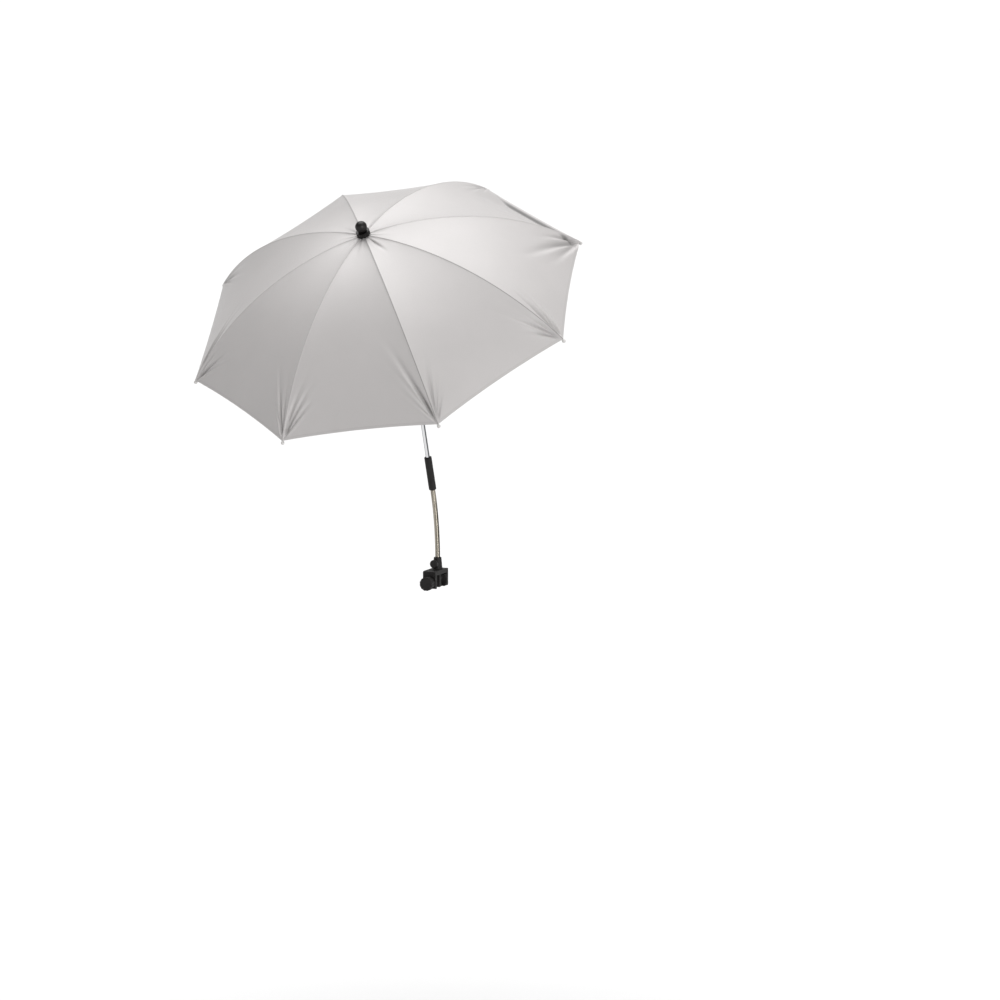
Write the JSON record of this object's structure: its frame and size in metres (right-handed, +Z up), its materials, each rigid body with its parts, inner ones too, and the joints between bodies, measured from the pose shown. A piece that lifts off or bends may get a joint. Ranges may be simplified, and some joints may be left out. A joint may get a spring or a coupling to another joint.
{
  "type": "pram parasol",
  "caption": "Folding fabric parasol on a chromed tilting shaft, with a bendable steel gooseneck and a screw clamp that grips a round pushchair tube.",
  "frame": {"origin": "centre of the clamp's grip, on the axis of the round tube it holds", "axes": "+X along the held tube, +Z up out of the clamp along the gooseneck's root, -Y towards the clamp knob and the way the parasol leans"},
  "size_m": [0.7432, 0.6144, 0.7675],
  "materials": {
    "canopy_fabric": "satin coated weave",
    "chrome_tube": "polished",
    "gooseneck_steel": "satin",
    "black_plastic": "fine grain",
    "black_rubber": "matte",
    "zinc_steel": "plated",
    "rib_steel": "plated",
    "brass_insert": "turned"
  },
  "bodies": {
    "clamp": {"clamp_body": "black_plastic", "fixed_jaw_pad": "black_rubber", "screw_nut": "brass_insert", "swivel_bolt": "zinc_steel"},
    "jaw": {"moving_jaw": "black_plastic", "moving_jaw_pad": "black_rubber"},
    "screw": {"clamp_screw": "zinc_steel", "clamp_knob": "black_plastic"},
    "arm_base": {"arm_socket": "black_plastic", "lock_screw": "black_plastic", "neck_lower": "gooseneck_steel"},
    "stem": {"connector_sleeve": "black_plastic", "neck_upper": "gooseneck_steel", "lower_shaft_tube": "chrome_tube", "tilt_fork": "black_plastic", "tilt_pin": "zinc_steel", "tilt_spring": "zinc_steel"},
    "tilt_release": {"tilt_button": "black_plastic"},
    "shaft": {"upper_shaft_tube": "chrome_tube", "tilt_tongue": "black_plastic", "crown_notch": "black_plastic", "crown_wire": "zinc_steel", "finial_knob": "black_plastic", "finial_collar": "black_plastic", "canopy": "canopy_fabric", "runner_catch": "zinc_steel"},
    "runner": {"runner": "black_plastic", "runner_wire": "zinc_steel"},
    "rib_1_inner": {"rib_1_inner": "rib_steel"},
    "rib_1_outer": {"rib_1_outer": "rib_steel"},
    "stretcher_1": {"stretcher_1": "rib_steel"},
    "rib_2_inner": {"rib_2_inner": "rib_steel"},
    "rib_2_outer": {"rib_2_outer": "rib_steel"},
    "stretcher_2": {"stretcher_2": "rib_steel"},
    "rib_3_inner": {"rib_3_inner": "rib_steel"},
    "rib_3_outer": {"rib_3_outer": "rib_steel"},
    "stretcher_3": {"stretcher_3": "rib_steel"},
    "rib_4_inner": {"rib_4_inner": "rib_steel"},
    "rib_4_outer": {"rib_4_outer": "rib_steel"},
    "stretcher_4": {"stretcher_4": "rib_steel"},
    "rib_5_inner": {"rib_5_inner": "rib_steel"},
    "rib_5_outer": {"rib_5_outer": "rib_steel"},
    "stretcher_5": {"stretcher_5": "rib_steel"},
    "rib_6_inner": {"rib_6_inner": "rib_steel"},
    "rib_6_outer": {"rib_6_outer": "rib_steel"},
    "stretcher_6": {"stretcher_6": "rib_steel"},
    "rib_7_inner": {"rib_7_inner": "rib_steel"},
    "rib_7_outer": {"rib_7_outer": "rib_steel"},
    "stretcher_7": {"stretcher_7": "rib_steel"},
    "rib_8_inner": {"rib_8_inner": "rib_steel"},
    "rib_8_outer": {"rib_8_outer": "rib_steel"},
    "stretcher_8": {"stretcher_8": "rib_steel"}
  },
  "joints": [
    {"name": "jaw_slide", "type": "slide", "parent": "clamp", "child": "jaw", "axis": [0, -1, 0], "range_m": [0, 0.0114]},
    {"name": "screw_turn", "type": "hinge", "parent": "jaw", "child": "screw", "pos_m": [0, -0.03, 0], "axis": [0, -1, 0], "range_deg": [0, 1030]},
    {"name": "arm_swivel", "type": "hinge", "parent": "clamp", "child": "arm_base", "pos_m": [0, 0, 0.022], "axis": [0, 0, 1], "continuous": true},
    {"name": "gooseneck_bend", "type": "hinge", "parent": "arm_base", "child": "stem", "pos_m": [0, -0.0053, 0.11107], "axis": [1, 0, 0], "range_deg": [-30, 30]},
    {"name": "tilt_press", "type": "slide", "parent": "stem", "child": "tilt_release", "axis": [0, 0.9507, 0.31], "range_m": [0, 0.0015], "stiffness_N_per_m": 400, "springref_m": -0.001, "deforming": ["tilt_spring"]},
    {"name": "canopy_tilt", "type": "hinge", "parent": "stem", "child": "shaft", "pos_m": [0, -0.07087, 0.32926], "axis": [1, 0, 0], "range_deg": [-16.3, 43]},
    {"name": "canopy_fold", "type": "hinge", "parent": "shaft", "child": "rib_1_inner", "pos_m": [0.0079, -0.30272, 0.6656], "axis": [0.1599, 0.8145, 0.5577], "range_deg": [0, 75], "deforming": ["canopy", "runner_catch"]},
    {"name": "rib_1_flex", "type": "hinge", "parent": "rib_1_inner", "child": "rib_1_outer", "pos_m": [0.17752, -0.30737, 0.62376], "axis": [0.1599, 0.8145, 0.5577], "range_deg": [-30, 0]},
    {"name": "stretcher_1_swing", "type": "hinge", "parent": "rib_1_inner", "child": "stretcher_1", "pos_m": [0.15661, -0.30637, 0.62829], "axis": [0.1599, 0.8145, 0.5577], "range_deg": [-150, 0]},
    {"name": "runner_guide", "type": "hinge", "parent": "stretcher_1", "child": "runner", "pos_m": [0.0079, -0.27027, 0.61821], "axis": [0.1599, 0.8145, 0.5577], "range_deg": [0, 75]},
    {"name": "rib_2_fold", "type": "hinge", "parent": "shaft", "child": "rib_2_inner", "pos_m": [0.00649, -0.2978, 0.66897], "axis": [-0.585, 0.6692, 0.4582], "range_deg": [0, 75]},
    {"name": "rib_2_flex", "type": "hinge", "parent": "rib_2_inner", "child": "rib_2_outer", "pos_m": [0.14586, -0.19684, 0.69944], "axis": [-0.585, 0.6692, 0.4582], "range_deg": [-30, 0]},
    {"name": "stretcher_2_swing", "type": "hinge", "parent": "rib_2_inner", "child": "stretcher_2", "pos_m": [0.12868, -0.20886, 0.69506], "axis": [-0.585, 0.6692, 0.4582], "range_deg": [-150, 0]},
    {"name": "rib_3_fold", "type": "hinge", "parent": "shaft", "child": "rib_3_inner", "pos_m": [0.00128, -0.29515, 0.67078], "axis": [-0.9871, 0.1319, 0.0903], "range_deg": [0, 75]},
    {"name": "rib_3_flex", "type": "hinge", "parent": "rib_3_inner", "child": "rib_3_outer", "pos_m": [0.02875, -0.13717, 0.7403], "axis": [-0.9871, 0.1319, 0.0903], "range_deg": [-30, 0]},
    {"name": "stretcher_3_swing", "type": "hinge", "parent": "rib_3_inner", "child": "stretcher_3", "pos_m": [0.02537, -0.15621, 0.73111], "axis": [-0.9871, 0.1319, 0.0903], "range_deg": [-150, 0]},
    {"name": "rib_4_fold", "type": "hinge", "parent": "shaft", "child": "rib_4_inner", "pos_m": [-0.00468, -0.29631, 0.66999], "axis": [-0.8111, -0.4827, -0.3305], "range_deg": [0, 75]},
    {"name": "rib_4_flex", "type": "hinge", "parent": "rib_4_inner", "child": "rib_4_outer", "pos_m": [-0.1052, -0.16329, 0.72241], "axis": [-0.8111, -0.4827, -0.3305], "range_deg": [-30, 0]},
    {"name": "stretcher_4_swing", "type": "hinge", "parent": "rib_4_inner", "child": "stretcher_4", "pos_m": [-0.09281, -0.17926, 0.71532], "axis": [-0.8111, -0.4827, -0.3305], "range_deg": [-150, 0]},
    {"name": "rib_5_fold", "type": "hinge", "parent": "shaft", "child": "rib_5_inner", "pos_m": [-0.0079, -0.30061, 0.66704], "axis": [-0.1599, -0.8145, -0.5577], "range_deg": [0, 75]},
    {"name": "rib_5_flex", "type": "hinge", "parent": "rib_5_inner", "child": "rib_5_outer", "pos_m": [-0.17752, -0.25992, 0.65625], "axis": [-0.1599, -0.8145, -0.5577], "range_deg": [-30, 0]},
    {"name": "stretcher_5_swing", "type": "hinge", "parent": "rib_5_inner", "child": "stretcher_5", "pos_m": [-0.15661, -0.26451, 0.65696], "axis": [-0.1599, -0.8145, -0.5577], "range_deg": [-150, 0]},
    {"name": "rib_6_fold", "type": "hinge", "parent": "shaft", "child": "rib_6_inner", "pos_m": [-0.00649, -0.30552, 0.66368], "axis": [0.585, -0.6692, -0.4582], "range_deg": [0, 75]},
    {"name": "rib_6_flex", "type": "hinge", "parent": "rib_6_inner", "child": "rib_6_outer", "pos_m": [-0.14586, -0.37044, 0.58057], "axis": [0.585, -0.6692, -0.4582], "range_deg": [-30, 0]},
    {"name": "stretcher_6_swing", "type": "hinge", "parent": "rib_6_inner", "child": "stretcher_6", "pos_m": [-0.12868, -0.36201, 0.59019], "axis": [0.585, -0.6692, -0.4582], "range_deg": [-150, 0]},
    {"name": "rib_7_fold", "type": "hinge", "parent": "shaft", "child": "rib_7_inner", "pos_m": [-0.00128, -0.30818, 0.66186], "axis": [0.9871, -0.1319, -0.0903], "range_deg": [0, 75]},
    {"name": "rib_7_flex", "type": "hinge", "parent": "rib_7_inner", "child": "rib_7_outer", "pos_m": [-0.02875, -0.43012, 0.53971], "axis": [0.9871, -0.1319, -0.0903], "range_deg": [-30, 0]},
    {"name": "stretcher_7_swing", "type": "hinge", "parent": "rib_7_inner", "child": "stretcher_7", "pos_m": [-0.02537, -0.41466, 0.55414], "axis": [0.9871, -0.1319, -0.0903], "range_deg": [-150, 0]},
    {"name": "rib_8_fold", "type": "hinge", "parent": "shaft", "child": "rib_8_inner", "pos_m": [0.00468, -0.30702, 0.66266], "axis": [0.8111, 0.4827, 0.3305], "range_deg": [0, 75]},
    {"name": "rib_8_flex", "type": "hinge", "parent": "rib_8_inner", "child": "rib_8_outer", "pos_m": [0.1052, -0.40399, 0.5576], "axis": [0.8111, 0.4827, 0.3305], "range_deg": [-30, 0]},
    {"name": "stretcher_8_swing", "type": "hinge", "parent": "rib_8_inner", "child": "stretcher_8", "pos_m": [0.09281, -0.39161, 0.56993], "axis": [0.8111, 0.4827, 0.3305], "range_deg": [-150, 0]}
  ],
  "couplings": [
    {"joint": "screw_turn", "follows": "jaw_slide", "rad_per_m": 1570.8},
    {"joint": "rib_1_flex", "follows": "canopy_fold", "ratio": -0.358},
    {"joint": "stretcher_1_swing", "follows": "canopy_fold", "ratio": -2},
    {"joint": "runner_guide", "follows": "canopy_fold", "ratio": 1},
    {"joint": "rib_2_fold", "follows": "canopy_fold", "ratio": 1},
    {"joint": "rib_2_flex", "follows": "canopy_fold", "ratio": -0.358},
    {"joint": "stretcher_2_swing", "follows": "canopy_fold", "ratio": -2},
    {"joint": "rib_3_fold", "follows": "canopy_fold", "ratio": 1},
    {"joint": "rib_3_flex", "follows": "canopy_fold", "ratio": -0.358},
    {"joint": "stretcher_3_swing", "follows": "canopy_fold", "ratio": -2},
    {"joint": "rib_4_fold", "follows": "canopy_fold", "ratio": 1},
    {"joint": "rib_4_flex", "follows": "canopy_fold", "ratio": -0.358},
    {"joint": "stretcher_4_swing", "follows": "canopy_fold", "ratio": -2},
    {"joint": "rib_5_fold", "follows": "canopy_fold", "ratio": 1},
    {"joint": "rib_5_flex", "follows": "canopy_fold", "ratio": -0.358},
    {"joint": "stretcher_5_swing", "follows": "canopy_fold", "ratio": -2},
    {"joint": "rib_6_fold", "follows": "canopy_fold", "ratio": 1},
    {"joint": "rib_6_flex", "follows": "canopy_fold", "ratio": -0.358},
    {"joint": "stretcher_6_swing", "follows": "canopy_fold", "ratio": -2},
    {"joint": "rib_7_fold", "follows": "canopy_fold", "ratio": 1},
    {"joint": "rib_7_flex", "follows": "canopy_fold", "ratio": -0.358},
    {"joint": "stretcher_7_swing", "follows": "canopy_fold", "ratio": -2},
    {"joint": "rib_8_fold", "follows": "canopy_fold", "ratio": 1},
    {"joint": "rib_8_flex", "follows": "canopy_fold", "ratio": -0.358},
    {"joint": "stretcher_8_swing", "follows": "canopy_fold", "ratio": -2}
  ]
}
